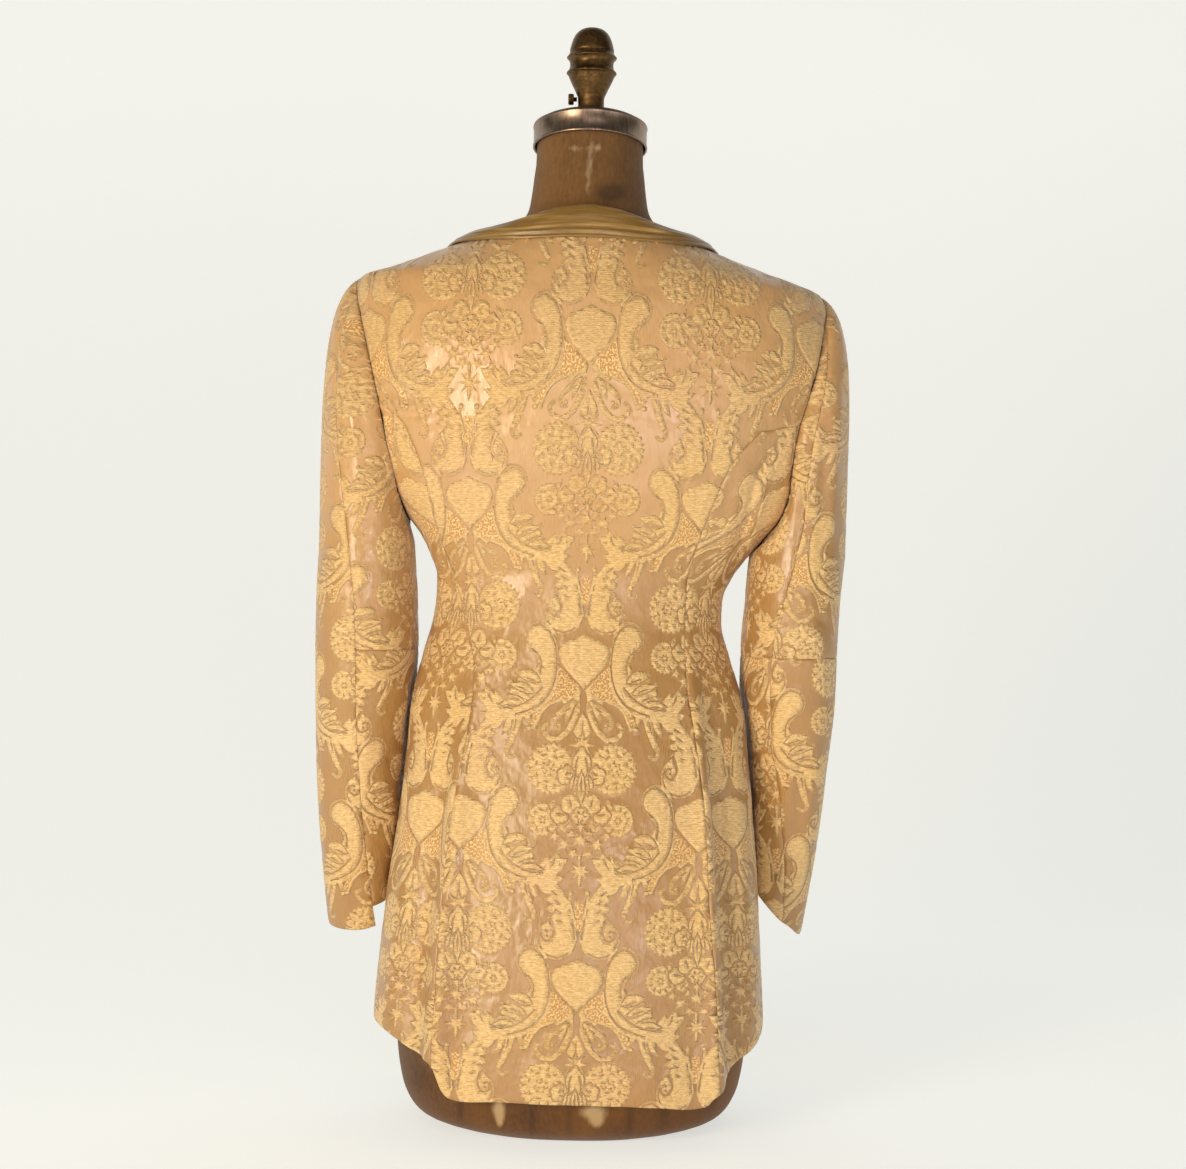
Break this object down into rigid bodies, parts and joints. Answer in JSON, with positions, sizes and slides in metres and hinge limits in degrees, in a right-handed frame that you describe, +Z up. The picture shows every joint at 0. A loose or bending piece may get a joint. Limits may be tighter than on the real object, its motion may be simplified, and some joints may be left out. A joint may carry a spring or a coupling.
{
  "type": "brocade coat on a dress form",
  "caption": "Fitted hip-length brocade coat with a turned-down satin collar and long sleeves, on a limbless linen dress form with a turned finial.",
  "frame": {"origin": "middle of the dress form's flat base, on the surface it stands on", "axes": "+Z up; the coat's back faces -Y and the wearer's right side is +X"},
  "size_m": [0.457, 0.2472, 0.9457],
  "materials": {
    "brocade": "gold damask brocade, raised matt figure on satin",
    "satin": "plain bronze-gold satin",
    "linen": "old brown linen over a stiff shell",
    "nickel": "worn nickel",
    "bronze": "dark bronzed metal"
  },
  "bodies": {
    "root": {"back": "brocade", "side_back_left": "brocade", "side_back_right": "brocade", "side_front_left": "brocade", "side_front_right": "brocade", "front_left": "brocade", "front_right": "brocade", "upper_sleeve_left": "brocade", "under_sleeve_left": "brocade", "under_sleeve_lower_left": "brocade", "upper_sleeve_right": "brocade", "upper_sleeve_lower_right": "brocade", "under_sleeve_right": "brocade", "under_sleeve_lower_right": "brocade", "collar": "satin", "form_torso": "linen", "neck_ring": "nickel", "neck_cap": "bronze", "finial": "bronze", "thumbscrew": "bronze"}
  },
  "joints": []
}
